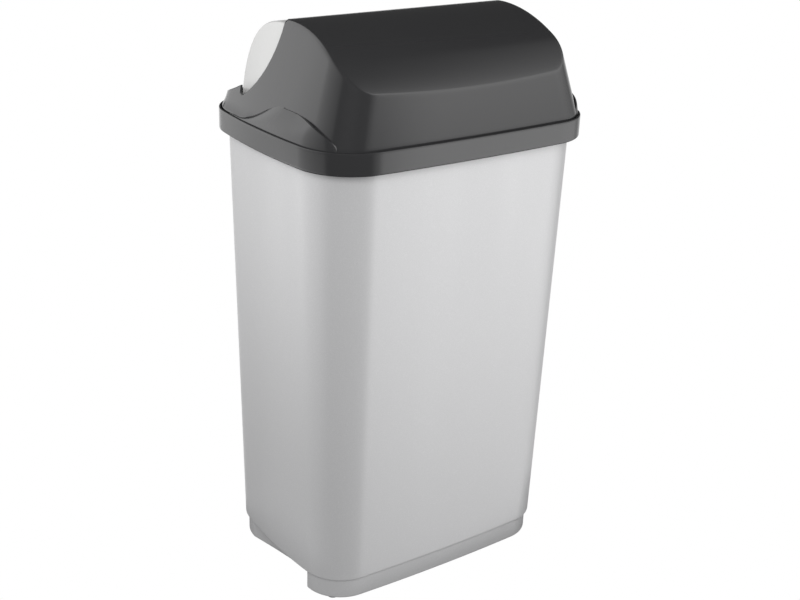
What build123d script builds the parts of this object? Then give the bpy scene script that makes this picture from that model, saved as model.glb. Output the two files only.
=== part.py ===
from build123d import *
from collections import namedtuple
from math import asin, cos, hypot, pi, radians, sin, sqrt
import os

os.makedirs("parts", exist_ok=True)

# Roll-top kitchen bin, in millimetres.
# +X runs along the long side, +Y is the side where the flap opens, +Z is up.
# The origin is on the floor, under the middle of the bin.

# Heights above the floor
foot_height = 1.6
plinth_height = 28.4
rim_bottom = 577.0
rim_top = 603.6
seat_depth = 9.8          # from the rim's top edge down to the shelf that carries the lid
crest_height = 724.0

# Bucket: its outline where the walls start, just above the plinth
bucket_width = 368.0
bucket_depth = 259.0
bucket_corner = 56.0
bucket_front_bow = 6.2
bucket_side_bow = 11.7
bucket_draft = 0.0237     # outward lean of all four walls, as a slope
bucket_wall = 2.0
bucket_floor = 2.4
step_edge_radius = 1.6

# Plinth under the bucket
plinth_inset = 4.3
plinth_wall = 2.4
plinth_edge_radius = 2.0

# Finger recess in the plinth, under each short side
recess_rear_y = 84.0
recess_mid_y = 38.8
recess_mid_depth = 10.0
recess_deep_y = -42.0
recess_depth = 24.0
recess_front_y = -70.0
recess_return = 0.6      # share of the depth left where the recess ends towards the front

# Foot pads, one under each corner of the plinth
pad_radius = 7.5
pad_stem_radius = 4.0
pad_stem_length = 5.0
pad_stem_clearance = 0.1
pad_edge_gap = 0.8        # from the plinth's outer face to the pad's edge
pad_round = 0.6           # at the pad's rim, where it meets the floor
foot_post_radius = 7.0

# Rim frame that caps the bucket and carries the lid
rim_width = 410.0
rim_depth = 311.0
rim_corner = 71.0
rim_front_bow = 7.3
rim_side_bow = 13.8
rim_wall = 2.6
rim_edge_radius = 1.2
shelf_thickness = 2.5
lip_clearance = 1.0       # from the bucket's turned lip to the rim frame's skirt
lip_thickness = 2.5
lip_drop = 10.0
collar_clearance = 0.6    # from the bucket's wall to the collar inside it
collar_wall = 2.2
collar_depth = 30.0

# Lid housing: outlines at the rim's top edge and at the crest
lid_low_width = 392.0
lid_low_depth = 295.4
lid_low_corner = 65.0
lid_low_front_bow = 6.8
lid_low_side_bow = 12.6
lid_high_width = 314.0
lid_high_depth = 252.0
lid_high_corner = 24.0
lid_high_front_bow = 4.6
lid_high_side_bow = 7.6
lid_wall = 2.6
barrel_radius = 178.5
crease_radius = 5.0       # where the barrel-shaped top meets the cheeks and the front
touch = 0.01              # how close two curves lie that count as one
flange_gap = 0.8          # from the lid's flange and ears to the rim frame's skirt
flange_thickness = 2.2

# Ears of the lid: a wave-shaped bulge low on each cheek. Heights are above the rim's top edge
ear_wall = 2.4
ear_rear_y = 72.0
ear_rise_y = 55.0
ear_crown_y = -38.0
ear_fall_y = -70.0
ear_front_y = -129.0
ear_foot = 2.6            # height of the ledge that the wave rises from
ear_crown = 32.6
ear_lean_power = 1.8      # the bulge starts upright and leans in more and more
ear_bite = 1.2            # how deep the bulge's ridge runs into the cheek
ear_end_lean = 3.0
ear_trim = 0.6            # what the bulge is cut back by, to run flush with the flange's edge
ear_stations = 14
ear_curve_steps = 4

# Slot under the ridge, which frees the ear's front end from the cheek
slot_rear_y = -33.0
slot_crown_y = -45.0
slot_height = 29.2
slot_width = 1.3
slot_open_y = -104.0      # from here forward the ear stands free

# Window of the lid, seen from the side
window_crest_y = 6.0
window_radius = 106.0
window_shoulder_y = 12.5
window_sill_y = 66.0
window_sill_height = 22.6   # above the rim's top edge, where the arc meets the sill
window_rear_height = 13.6   # above the rim's top edge, at the rear wall
window_opened_y = 200.0

# Roll flap
pivot_y = 23.0
pivot_height = 607.6
flap_half_width = 150.0
flap_cone_slope = 0.30
flap_wall = 2.2
flap_top_y = -12.0
flap_top_radius = 110.3
flap_top_angle = 75.0
flap_corner_radius = 111.6
flap_corner_angle = 49.0
flap_flat_radius = 105.6
flap_flat_angle = 26.0
flap_toe_radius = 111.2
flap_toe_angle = -3.5
flap_hub_radius = 13.0
flap_hub_face = 183.0
flap_edge_radius = 3.0
flap_overrun = 0.15       # share by which the flap's hollow runs past its open edges

# Pivot pins
pin_radius = 4.0
pin_clearance = 0.08
pin_head_radius = 8.0
pin_head_thickness = 2.4
pin_end_gap = 0.4
boss_radius = 9.0
boss_gap = 0.5            # from the flap's hub to the boss in the lid
boss_hole_depth = 7.0

# How far a cutting shape runs past what it cuts
cut_margin = 10.0

# Levels that follow from the sizes above
step_z = foot_height + plinth_height
floor_z = step_z + bucket_floor
shelf_z = rim_top - seat_depth
bucket_top = shelf_z - shelf_thickness

Outline = namedtuple("Outline", "half_width half_depth front_radius side_radius corner")


# A rounded rectangle whose four sides are shallow arcs, tangent to its corner arcs
def bowed(width, depth, front_bow, side_bow, corner):
    front_radius = (width ** 2 / 4 + front_bow ** 2) / (2 * front_bow)
    side_radius = (depth ** 2 / 4 + side_bow ** 2) / (2 * side_bow)
    return Outline(width / 2, depth / 2, front_radius, side_radius, corner)


# The same outline moved outward everywhere by one distance
def grow(outline, distance):
    return Outline(*(value + distance for value in outline))


# An outline on the straight line between two others, which may also lie beyond them
def between(low, high, share):
    return Outline(*(a + (b - a) * share for a, b in zip(low, high)))


# Centre of the corner arc in the +X +Y quarter
def corner_centre(outline):
    front_centre = outline.half_depth - outline.front_radius
    side_centre = outline.half_width - outline.side_radius
    front_reach = outline.front_radius - outline.corner
    side_reach = outline.side_radius - outline.corner
    apart = hypot(front_centre, side_centre)
    along = (front_reach ** 2 - side_reach ** 2 + apart ** 2) / (2 * apart)
    across = sqrt(front_reach ** 2 - along ** 2)
    dx, dy = side_centre / apart, -front_centre / apart
    return dx * along + dy * across, front_centre + dy * along - dx * across


def toward(start, end, length):
    reach = hypot(end[0] - start[0], end[1] - start[1])
    return tuple(a + (b - a) * length / reach for a, b in zip(start, end))


def outline_face(outline, z):
    cx, cy = corner_centre(outline)
    front = toward((0, outline.half_depth - outline.front_radius), (cx, cy), outline.front_radius)
    side = toward((outline.half_width - outline.side_radius, 0), (cx, cy), outline.side_radius)
    middle = ((front[0] + side[0]) / 2, (front[1] + side[1]) / 2)
    corner = toward((cx, cy), middle, outline.corner)

    def spot(point, sx, sy):
        return Vector(point[0] * sx, point[1] * sy, z)

    right = Vector(outline.half_width, 0, z)
    left = Vector(-outline.half_width, 0, z)
    rear = Vector(0, outline.half_depth, z)
    fore = Vector(0, -outline.half_depth, z)
    edges = [
        ThreePointArc(spot(side, 1, -1), right, spot(side, 1, 1)),
        ThreePointArc(spot(side, 1, 1), spot(corner, 1, 1), spot(front, 1, 1)),
        ThreePointArc(spot(front, 1, 1), rear, spot(front, -1, 1)),
        ThreePointArc(spot(front, -1, 1), spot(corner, -1, 1), spot(side, -1, 1)),
        ThreePointArc(spot(side, -1, 1), left, spot(side, -1, -1)),
        ThreePointArc(spot(side, -1, -1), spot(corner, -1, -1), spot(front, -1, -1)),
        ThreePointArc(spot(front, -1, -1), fore, spot(front, 1, -1)),
        ThreePointArc(spot(front, 1, -1), spot(corner, 1, -1), spot(side, 1, -1)),
    ]
    return Face(Wire(edges))


def prism(outline, low, high):
    return extrude(outline_face(outline, low), amount=high - low, dir=(0, 0, 1))


def tapered(low_outline, low, high_outline, high):
    return loft([outline_face(low_outline, low), outline_face(high_outline, high)], ruled=True)


# A closed shape drawn in the Y-Z plane, carried along X from one side to the other
def side_prism(edges, low_x, high_x):
    face = Face(Wire(edges))
    return extrude(face.moved(Location((low_x, 0, 0))), amount=high_x - low_x, dir=(1, 0, 0))


def side_point(y, z):
    return Vector(0, y, z)


def cylinder_x(y, z, radius, low_x, high_x):
    circle = Plane(origin=(low_x, y, z), x_dir=(0, 1, 0), z_dir=(1, 0, 0)) * Circle(radius)
    return extrude(circle, amount=high_x - low_x, dir=(1, 0, 0))


def mirrored_pair(shape):
    return shape, mirror(shape, about=Plane.YZ)


bucket_foot = bowed(bucket_width, bucket_depth, bucket_front_bow, bucket_side_bow, bucket_corner)
rim_outline = bowed(rim_width, rim_depth, rim_front_bow, rim_side_bow, rim_corner)
plinth_outline = grow(bucket_foot, -plinth_inset)
flange_outline = grow(rim_outline, -(rim_wall + flange_gap))
lip_outline = grow(rim_outline, -(rim_wall + lip_clearance))
lid_low = bowed(lid_low_width, lid_low_depth, lid_low_front_bow, lid_low_side_bow, lid_low_corner)
lid_high = bowed(
    lid_high_width, lid_high_depth, lid_high_front_bow, lid_high_side_bow, lid_high_corner
)


def bucket_outline(z):
    return grow(bucket_foot, bucket_draft * (z - step_z))


def lid_outline(z):
    return between(lid_low, lid_high, (z - rim_top) / (crest_height - rim_top))


# Finger recess in plan, widened on all sides by a margin, at the -X side
def recess_face(margin):
    outside = -rim_width / 2
    edge = -plinth_outline.half_width
    outer = [
        Line((outside, recess_front_y), (outside, recess_rear_y)),
        Line((outside, recess_rear_y), (edge, recess_rear_y)),
        ThreePointArc(
            (edge, recess_rear_y),
            (edge + recess_mid_depth, recess_mid_y),
            (edge + recess_depth, recess_deep_y),
        ),
        Line((edge + recess_depth, recess_deep_y), (edge + recess_depth * recess_return, recess_front_y)),
        Line((edge + recess_depth * recess_return, recess_front_y), (outside, recess_front_y)),
    ]
    face = Face(Wire(outer))
    return offset(face, amount=margin, kind=Kind.INTERSECTION) if margin else face


def recess_room(margin):
    face = recess_face(margin).moved(Location((0, 0, foot_height)))
    return extrude(face, amount=step_z - foot_height, dir=(0, 0, 1))


def foot_spots():
    cx, cy = corner_centre(plinth_outline)
    reach = plinth_outline.corner - pad_edge_gap - pad_radius
    along = reach / sqrt(2)
    for sx in (-1, 1):
        for sy in (-1, 1):
            yield sx * (cx + along), sy * (cy + along)


def make_bucket():
    wall = tapered(bucket_outline(step_z), step_z, bucket_outline(bucket_top), bucket_top)
    wall = fillet(wall.edges().group_by(Axis.Z)[0], step_edge_radius)
    hollow_top = bucket_top + cut_margin
    hollow = tapered(
        grow(bucket_outline(floor_z), -bucket_wall), floor_z,
        grow(bucket_outline(hollow_top), -bucket_wall), hollow_top,
    )
    lip = prism(lip_outline, bucket_top - lip_thickness, bucket_top)
    turned = prism(lip_outline, bucket_top - lip_drop, bucket_top)
    turned -= prism(grow(lip_outline, -bucket_wall), bucket_top - lip_drop, bucket_top)

    plinth = prism(plinth_outline, foot_height, step_z + step_edge_radius)
    plinth = fillet(plinth.edges().group_by(Axis.Z)[0], plinth_edge_radius)
    core = prism(grow(plinth_outline, -plinth_wall), foot_height, step_z)
    height = step_z - foot_height
    for cut in mirrored_pair(recess_room(0)):
        plinth -= cut
    for cut in mirrored_pair(recess_room(plinth_wall)):
        core -= cut
    plinth -= core
    for x, y in foot_spots():
        post = Pos(x, y, foot_height) * Cylinder(
            foot_post_radius, height, align=(Align.CENTER, Align.CENTER, Align.MIN)
        )
        socket = Pos(x, y, foot_height) * Cylinder(
            pad_stem_radius + pad_stem_clearance,
            pad_stem_length + pad_stem_clearance,
            align=(Align.CENTER, Align.CENTER, Align.MIN),
        )
        plinth = plinth + post - socket
    return (wall + lip + turned + plinth) - hollow


def make_foot_pads():
    pads = []
    for x, y in foot_spots():
        disc = Pos(x, y, 0) * Cylinder(
            pad_radius, foot_height, align=(Align.CENTER, Align.CENTER, Align.MIN)
        )
        stem = Pos(x, y, 0) * Cylinder(
            pad_stem_radius,
            foot_height + pad_stem_length,
            align=(Align.CENTER, Align.CENTER, Align.MIN),
        )
        pads.append(fillet((disc + stem).edges().group_by(Axis.Z)[0], pad_round))
    return Compound(children=pads)


# Half-width of an outline at one depth, measured on its side arc or its corner arc
def half_width_at(outline, y):
    cx, cy = corner_centre(outline)
    side_centre = outline.half_width - outline.side_radius
    tangent_y = toward((side_centre, 0), (cx, cy), outline.side_radius)[1]
    if abs(y) < tangent_y:
        return side_centre + sqrt(outline.side_radius ** 2 - y ** 2)
    return cx + sqrt(max(0, outline.corner ** 2 - (abs(y) - cy) ** 2))


def make_rim_frame():
    skirt = prism(rim_outline, rim_bottom, rim_top)
    skirt = fillet(skirt.edges().group_by(Axis.Z)[-1], rim_edge_radius)
    skirt = fillet(skirt.edges().group_by(Axis.Z)[0], rim_edge_radius)
    skirt -= prism(grow(rim_outline, -rim_wall), rim_bottom, rim_top)

    collar_low = shelf_z - shelf_thickness - collar_depth
    outer_inset = bucket_wall + collar_clearance
    inner_inset = outer_inset + collar_wall
    collar = tapered(
        grow(bucket_outline(collar_low), -outer_inset), collar_low,
        grow(bucket_outline(shelf_z), -outer_inset), shelf_z,
    )
    bore = tapered(
        grow(bucket_outline(collar_low), -inner_inset), collar_low,
        grow(bucket_outline(shelf_z), -inner_inset), shelf_z,
    )
    shelf = prism(grow(rim_outline, -rim_wall / 2), shelf_z - shelf_thickness, shelf_z)

    return skirt + shelf + collar - bore


# Everything above the window's edge, seen from the side
def window_cut():
    arc_centre_y = window_shoulder_y + window_radius
    sill_z = rim_top + window_sill_height
    rise = sqrt(window_radius ** 2 - (arc_centre_y - window_sill_y) ** 2)
    arc_centre_z = sill_z + rise
    half_turn = asin(rise / window_radius) / 2
    arc_mid = side_point(
        arc_centre_y - window_radius * cos(half_turn), arc_centre_z - window_radius * sin(half_turn)
    )
    shoulder = side_point(window_shoulder_y, arc_centre_z)
    sill = side_point(window_sill_y, sill_z)
    rear = side_point(lid_low.half_depth, rim_top + window_rear_height)
    crest = side_point(window_crest_y, crest_height + cut_margin)
    far_low = side_point(window_opened_y, rim_top + window_rear_height)
    far_high = side_point(window_opened_y, crest_height + cut_margin)
    return side_prism(
        [
            Line(crest, shoulder),
            ThreePointArc(shoulder, arc_mid, sill),
            Line(sill, rear),
            Line(rear, far_low),
            Line(far_low, far_high),
            Line(far_high, crest),
        ],
        -rim_width,
        rim_width,
    )


def lid_body(inset, low):
    high = crest_height + cut_margin
    loaf = tapered(grow(lid_low, -inset), rim_top, grow(lid_outline(high), -inset), high)
    barrel = cylinder_x(0, crest_height - barrel_radius, barrel_radius - inset, -rim_width, rim_width)
    return (loaf & barrel) + prism(grow(lid_low, -inset), low, rim_top)


# The edges where the barrel-shaped top meets the slanted sides
def crease_edges(body):
    def on_barrel(point):
        reach = hypot(point.Y, point.Z - crest_height + barrel_radius)
        return abs(reach - barrel_radius) < touch

    return [edge for edge in body.edges() if all(on_barrel(edge @ at) for at in (0, 0.5, 1))]


# Quarter ellipse that falls from 1 at one depth to 0 at the ear's front end
def fall_share(y, start_y):
    share = (start_y - y) / (start_y - ear_front_y)
    return sqrt(1 - min(1, max(0, share)) ** 2)


# Height of the bulge's ridge: a ledge, a cosine rise, a level crown and an elliptical fall
def ridge_height(y):
    share = min(1, max(0, (ear_rise_y - y) / (ear_rise_y - ear_crown_y)))
    rise = ear_foot + (ear_crown - ear_foot) * (1 - cos(pi * share)) / 2
    return rise * fall_share(y, ear_fall_y)


def ear_section(y, inset):
    low = shelf_z + flange_thickness / 2 if not inset else shelf_z - cut_margin
    foot_x = half_width_at(grow(flange_outline, ear_trim), y)
    top_z = rim_top + ridge_height(y)
    cheek_x = half_width_at(lid_outline(top_z), y) - ear_bite
    free = min(1, max(0, (slot_open_y - y) / (slot_open_y - ear_front_y)))
    top_x = cheek_x + (foot_x - ear_end_lean - cheek_x) * free
    curve = []
    for step in range(ear_curve_steps + 1):
        share = step / ear_curve_steps
        lean = (foot_x - top_x) * share ** ear_lean_power
        curve.append(Vector(inset + lean - foot_x, y, rim_top + (top_z - rim_top) * share))
    inner_x = inset + cut_margin - top_x
    edges = [
        Line(Vector(inset - foot_x, y, low), curve[0]),
        Spline(*curve, tangents=[(0, 0, 1), curve[-1] - curve[-2]]),
        Line(curve[-1], Vector(inner_x, y, curve[-1].Z)),
        Line(Vector(inner_x, y, curve[-1].Z), Vector(inner_x, y, low)),
        Line(Vector(inner_x, y, low), Vector(inset - foot_x, y, low)),
    ]
    return Face(Wire(edges))


# Sections crowd together towards the front, where the wave falls fastest
def ear_depths(rear_y, front_y, steps):
    for step in range(steps + 1):
        yield rear_y + (front_y - rear_y) * sin(pi / 2 * step / steps)


def slot_section(y, height):
    low = rim_top + slot_height * fall_share(y, slot_crown_y)
    corners = [(-rim_width, low), (-rim_width, low + height), (0, low + height), (0, low)]
    return Face(Wire.make_polygon([Vector(x, y, z) for x, z in corners], close=True))


def make_ear():
    rear, front = ear_rear_y, ear_front_y + ear_wall
    outer = loft([ear_section(y, 0) for y in ear_depths(rear, front, ear_stations)])
    inner = loft([
        ear_section(y, ear_wall) for y in ear_depths(rear - ear_wall, front, ear_stations)
    ])
    slot_depths = ear_depths(slot_rear_y, slot_open_y, ear_stations)
    slot = loft([slot_section(y, slot_width) for y in slot_depths])
    free_depths = ear_depths(slot_open_y, ear_front_y, ear_stations)
    room = loft([slot_section(y, ear_crown) for y in free_depths])
    trimmed = outer & prism(flange_outline, shelf_z, crest_height)
    return trimmed - inner - slot - room


def make_lid_housing():
    outer = lid_body(0, shelf_z)
    outer = fillet(crease_edges(outer), crease_radius)
    inner = lid_body(lid_wall, shelf_z - cut_margin)
    flange = prism(flange_outline, shelf_z, shelf_z + flange_thickness)
    boss_face = flap_hub_face + boss_gap
    bosses = None
    for side in (-1, 1):
        boss = cylinder_x(pivot_y, pivot_height, boss_radius, boss_face, rim_width / 2) & outer
        hole = cylinder_x(pivot_y, pivot_height, pin_radius, boss_face, boss_face + boss_hole_depth)
        boss = boss - hole
        if side < 0:
            boss = mirror(boss, about=Plane.YZ)
        bosses = boss if bosses is None else bosses + boss
    shell = outer + flange
    for ear in mirrored_pair(make_ear()):
        shell += ear
    shell -= inner
    return (shell - window_cut()) + bosses


# Side view of the flap's outer face, moved inward by a distance
def flap_curve(inset):
    def at(radius, angle):
        reach = radius - inset
        return side_point(
            pivot_y + reach * cos(radians(angle)), pivot_height + reach * sin(radians(angle))
        )

    top_reach = flap_top_radius - inset
    top_z = pivot_height + sqrt(top_reach ** 2 - (flap_top_y - pivot_y) ** 2)
    return [
        at(flap_toe_radius, flap_toe_angle),
        at(flap_flat_radius, flap_flat_angle),
        at(flap_corner_radius, flap_corner_angle),
        at(flap_top_radius, flap_top_angle),
        side_point(flap_top_y, top_z),
    ]


# Side view of the whole flap, or of its hollow, which runs out through the flap's open edges
def flap_sector(inset):
    points = flap_curve(inset)
    toe, top = points[0], points[-1]
    hub = side_point(pivot_y, pivot_height)
    if not inset:
        return [Spline(*points), Line(top, hub), Line(hub, toe)]
    past_hub = hub - (toe - hub) * flap_overrun - (top - hub) * flap_overrun
    past_toe = toe + (toe - top) * flap_overrun
    past_top = top + (top - toe) * flap_overrun
    return [
        Spline(*points),
        Line(top, past_top),
        Line(past_top, past_hub),
        Line(past_hub, past_toe),
        Line(past_toe, toe),
    ]


# Double cone about the pivot axis that gives both cheeks of the flap their dish
def cheek_cone(inset):
    reach = flap_corner_radius + cut_margin
    rim_x = flap_half_width - flap_cone_slope * (reach - flap_corner_radius) - inset
    hub_x = flap_half_width + flap_cone_slope * (flap_corner_radius - flap_hub_radius) - inset
    section = Polyline(
        (-rim_x, reach), (-hub_x, flap_hub_radius), (-hub_x, 0),
        (hub_x, 0), (hub_x, flap_hub_radius), (rim_x, reach), (-rim_x, reach),
    )
    turned = revolve(Plane.XY * make_face(section), Axis.X)
    return Pos(0, pivot_y, pivot_height) * turned


def make_roll_flap():
    outer = cheek_cone(0) & side_prism(flap_sector(0), -rim_width / 2, rim_width / 2)
    rims = [edge for edge in outer.edges() if edge.geom_type == GeomType.BSPLINE]
    outer = fillet(rims, flap_edge_radius)
    inner = cheek_cone(flap_wall) & side_prism(
        flap_sector(flap_wall), -rim_width / 2, rim_width / 2
    )
    flap = outer - inner
    hub_x = flap_half_width + flap_cone_slope * (flap_corner_radius - flap_hub_radius)
    hub = cylinder_x(pivot_y, pivot_height, flap_hub_radius, hub_x - flap_wall, flap_hub_face)
    hole = cylinder_x(pivot_y, pivot_height, pin_radius + pin_clearance, 0, flap_hub_face)
    for piece, bore in zip(mirrored_pair(hub), mirrored_pair(hole)):
        flap = flap + piece - bore
    return flap


def make_pin():
    hub_x = flap_half_width + flap_cone_slope * (flap_corner_radius - flap_hub_radius) - flap_wall
    tip_x = flap_hub_face + boss_gap + boss_hole_depth - pin_end_gap
    head_x = hub_x - pin_end_gap
    shank = cylinder_x(pivot_y, pivot_height, pin_radius, head_x, tip_x)
    head = cylinder_x(pivot_y, pivot_height, pin_head_radius, head_x - pin_head_thickness, head_x)
    return shank + head


right_pin, left_pin = mirrored_pair(make_pin())
nodes = {
    "bucket": make_bucket(),
    "foot_pads": make_foot_pads(),
    "rim_frame": make_rim_frame(),
    "lid_housing": make_lid_housing(),
    "roll_flap": make_roll_flap(),
    "pivot_pin_left": left_pin,
    "pivot_pin_right": right_pin,
}
for name, shape in nodes.items():
    export_step(shape, f"parts/{name}.step")
    size = shape.bounding_box().size
    print(name, [round(v, 1) for v in (size.X, size.Y, size.Z)], round(shape.volume / 1000, 1), "cm3")
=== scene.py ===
from math import asin, atan2, cos, floor, hypot, pi, radians, sin, sqrt
import bmesh
import bpy
from mathutils import Matrix, Vector


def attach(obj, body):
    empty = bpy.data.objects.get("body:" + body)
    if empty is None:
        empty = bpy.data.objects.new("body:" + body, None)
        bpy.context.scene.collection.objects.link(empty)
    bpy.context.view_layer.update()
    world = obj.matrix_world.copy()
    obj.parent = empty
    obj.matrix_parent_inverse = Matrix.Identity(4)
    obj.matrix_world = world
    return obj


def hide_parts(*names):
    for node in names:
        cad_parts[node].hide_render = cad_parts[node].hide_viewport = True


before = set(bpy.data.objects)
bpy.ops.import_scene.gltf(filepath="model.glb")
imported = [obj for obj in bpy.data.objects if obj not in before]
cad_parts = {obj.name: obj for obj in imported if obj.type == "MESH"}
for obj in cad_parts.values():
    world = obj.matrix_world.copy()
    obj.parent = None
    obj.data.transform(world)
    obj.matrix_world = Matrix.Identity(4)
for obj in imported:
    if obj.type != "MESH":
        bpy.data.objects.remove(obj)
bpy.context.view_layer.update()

# Roll-top kitchen bin. The sizes below are in millimetres, and meshes are scaled to metres.
# +Y is the side where the flap opens, so the camera sees the closed back of the lid.
mm = 0.001

# Heights that several pieces share
level = {
    "foot": 1.6,
    "step": 30.0,
    "rimBottom": 577.0,
    "rimTop": 603.6,
    "shelf": 593.8,
    "crest": 724.0,
}


def srgb(hexCode):
    parts = [int(hexCode[i:i + 2], 16) / 255 for i in (1, 3, 5)]
    linear = [c / 12.92 if c <= 0.04045 else ((c + 0.055) / 1.055) ** 2.4 for c in parts]
    return (*linear, 1.0)


# Adds one node, with its own settings and with values or links for its inputs
def addNode(tree, kind, inputs=None, **settings):
    node = tree.nodes.new(kind)
    for name, value in settings.items():
        setattr(node, name, value)
    for name, value in (inputs or {}).items():
        socket = node.inputs[name]
        if isinstance(value, bpy.types.NodeSocket):
            tree.links.new(value, socket)
        else:
            socket.default_value = value
    return node


def newMaterial(name):
    material = bpy.data.materials.new(name)
    material.use_nodes = True
    tree = material.node_tree
    tree.nodes.clear()
    return material, tree


# Texture scale that makes one feature this many millimetres wide
def perFeature(sizeMm):
    return 1 / (sizeMm * mm)


# What every moulded plastic here has: uneven gloss after a noise, and a fine moulded grain
def finishPlastic(material, tree, look, place, shade, noise):
    roughness, spread = look["roughness"], look["glossSpread"]
    gloss = addNode(tree, "ShaderNodeMapRange", {
        "Value": noise.outputs["Fac"], "From Min": 0.3, "From Max": 0.7,
        "To Min": roughness - spread, "To Max": roughness + spread})
    grain = addNode(tree, "ShaderNodeTexNoise", {
        "Vector": place, "Scale": perFeature(look["grainMm"]), "Detail": 2.0})
    bump = addNode(tree, "ShaderNodeBump", {
        "Height": grain.outputs["Fac"], "Distance": look["grainDepth"], "Strength": 0.5})
    surface = addNode(tree, "ShaderNodeBsdfPrincipled", {
        "Base Color": shade.outputs["Result"], "Metallic": look["metallic"],
        "Roughness": gloss.outputs["Result"], "IOR": look["ior"], "Normal": bump.outputs["Normal"]})
    addNode(tree, "ShaderNodeOutputMaterial", {"Surface": surface.outputs["BSDF"]})
    return material


# Silver look: polypropylene with aluminium flake stirred into the melt, injection moulded.
# The flakes lie along the flow, so it reads as soft grey metal with a broad, dull highlight.
silverPolypropylene = {
    "darkFlake": "#b8b8b9",
    "lightFlake": "#c4c4c5",
    "metallic": 0.2,
    "roughness": 0.34,
    "ior": 1.49,
    "flakeMm": 0.9,        # real flakes are 0.1 mm, drawn coarser so that they show at all
    "flowMm": 60.0,        # faint cloudy bands where the melt ran up the wall
    "flowStretch": 0.12,
    "glossSpread": 0.03,
    "grainMm": 0.7,
    "grainDepth": 0.00003,
}


def makeSilverPolypropylene(look):
    material, tree = newMaterial("silverPolypropylene")
    place = addNode(tree, "ShaderNodeTexCoord").outputs["Object"]
    flakes = addNode(tree, "ShaderNodeTexVoronoi", {
        "Vector": place, "Scale": perFeature(look["flakeMm"])})
    flow = addNode(tree, "ShaderNodeMapping", {"Vector": place, "Scale": (1, 1, look["flowStretch"])})
    bands = addNode(tree, "ShaderNodeTexNoise", {
        "Vector": flow.outputs["Vector"], "Scale": perFeature(look["flowMm"]), "Detail": 3.0})
    shade = addNode(tree, "ShaderNodeMix", {
        "Factor": flakes.outputs["Distance"],
        "A": srgb(look["darkFlake"]), "B": srgb(look["lightFlake"])}, data_type="RGBA")
    return finishPlastic(material, tree, look, place, shade, bands)


# Anthracite polypropylene, injection moulded in a polished tool with a fine matt sheen.
# Dark body colour, so nearly all that the eye gets is the studio mirrored softly in it.
anthracitePolypropylene = {
    "colour": "#2f2f30",
    "clouded": "#2d2d2e",
    "roughness": 0.15,
    "metallic": 0.0,
    "glossSpread": 0.02,
    "ior": 1.49,
    "cloudMm": 90.0,
    "grainMm": 0.6,        # spark-eroded tool texture, real grain about 0.1 mm
    "grainDepth": 0.00002,
}

# Light grey polypropylene of the flap: the same tool finish in a pale, slightly warm grey
lightGreyPolypropylene = {
    "colour": "#cbcbca",
    "clouded": "#c8c8c7",
    "roughness": 0.38,
    "metallic": 0.0,
    "glossSpread": 0.02,
    "ior": 1.49,
    "cloudMm": 90.0,
    "grainMm": 0.6,
    "grainDepth": 0.00002,
}

# Acetal of the pivot pins: turned from bar, dark, waxy and smooth
darkAcetal = {
    "colour": "#2c2d2e",
    "clouded": "#29292a",
    "roughness": 0.28,
    "metallic": 0.0,
    "glossSpread": 0.02,
    "ior": 1.48,
    "cloudMm": 8.0,
    "grainMm": 0.5,
    "grainDepth": 0.00001,
}

# Thermoplastic rubber of the foot pads: moulded, matt, with a fine rough skin
greyRubber = {
    "colour": "#8e8f90",
    "clouded": "#868788",
    "roughness": 0.75,
    "metallic": 0.0,
    "glossSpread": 0.02,
    "ior": 1.5,
    "cloudMm": 6.0,
    "grainMm": 0.5,
    "grainDepth": 0.00006,
}


# Coloured plastic with a faint clouding in the colour
def makeMouldedPlastic(name, look):
    material, tree = newMaterial(name)
    place = addNode(tree, "ShaderNodeTexCoord").outputs["Object"]
    clouds = addNode(tree, "ShaderNodeTexNoise", {
        "Vector": place, "Scale": perFeature(look["cloudMm"]), "Detail": 3.0})
    shade = addNode(tree, "ShaderNodeMix", {
        "Factor": clouds.outputs["Fac"], "A": srgb(look["clouded"]), "B": srgb(look["colour"])},
        data_type="RGBA")
    return finishPlastic(material, tree, look, place, shade, clouds)


silver = makeSilverPolypropylene(silverPolypropylene)
anthracite = makeMouldedPlastic("anthracitePolypropylene", anthracitePolypropylene)
lightGrey = makeMouldedPlastic("lightGreyPolypropylene", lightGreyPolypropylene)
acetal = makeMouldedPlastic("darkAcetal", darkAcetal)
rubber = makeMouldedPlastic("greyRubber", greyRubber)
print("materials made")


# An outline is a rounded rectangle with four bowed sides, kept as five lengths:
# half width, half depth, bow radius of the long sides, of the short sides, and corner radius
def bowed(width, depth, longBow, shortBow, corner):
    longRadius = (width ** 2 / 4 + longBow ** 2) / (2 * longBow)
    shortRadius = (depth ** 2 / 4 + shortBow ** 2) / (2 * shortBow)
    return [width / 2, depth / 2, longRadius, shortRadius, corner]


def grow(outline, distance):
    return [value + distance for value in outline]


def between(low, high, share):
    return [a + (b - a) * share for a, b in zip(low, high)]


# Spot on the soft bend that leaves start towards corner and arrives at end
def bend(start, corner, end, share):
    return between(between(start, corner, share), between(corner, end, share), share)


def clamp(share):
    return min(1.0, max(0.0, share))


def ease(share):
    return share * share * (3 - 2 * share)


def cornerCentre(outline):
    halfWidth, halfDepth, longRadius, shortRadius, corner = outline
    longCentre, shortCentre = halfDepth - longRadius, halfWidth - shortRadius
    longReach, shortReach = longRadius - corner, shortRadius - corner
    apart = hypot(longCentre, shortCentre)
    along = (longReach ** 2 - shortReach ** 2 + apart ** 2) / (2 * apart)
    across = sqrt(longReach ** 2 - along ** 2)
    dx, dy = shortCentre / apart, -longCentre / apart
    return dx * along + dy * across, longCentre + dy * along - dx * across


# How many faces go round a quarter of a ring: half a short side, a corner, half a long side
ringSteps = {"short": 72, "corner": 22, "long": 30}


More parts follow.
